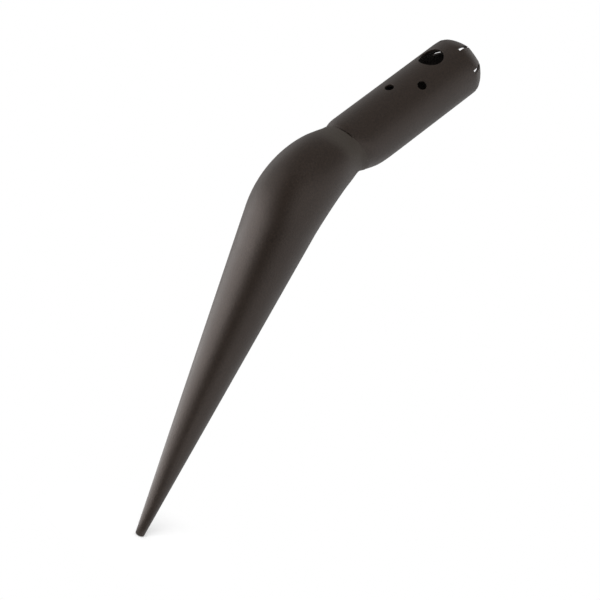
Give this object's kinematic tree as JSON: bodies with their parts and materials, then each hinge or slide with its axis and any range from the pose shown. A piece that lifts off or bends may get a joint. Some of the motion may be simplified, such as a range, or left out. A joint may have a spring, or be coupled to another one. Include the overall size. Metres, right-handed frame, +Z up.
{
  "type": "ground spike",
  "caption": "Cranked ground spike: a long tapered hollow steel leg, bent and welded at a narrow neck to a round tube socket with drilled holes and a slit, rolled-in crown.",
  "frame": {"origin": "centre of the blunt point, which goes into the ground first", "axes": "+Z up along the axis of the tapered leg, +X to the side the socket leans to, so the bend and the socket's axis lie in the XZ plane"},
  "size_m": [0.2131, 0.0718, 0.5472],
  "materials": {
    "coated_steel": "satin brown-black powder coat with a fine grain",
    "coated_weld": "the same powder coat over weld metal"
  },
  "bodies": {
    "root": {"spike_shell": "coated_steel", "seam_weld": "coated_weld", "spike_tip": "coated_steel", "tip_weld": "coated_weld", "neck_weld": "coated_weld", "socket_tube": "coated_steel"}
  },
  "joints": []
}
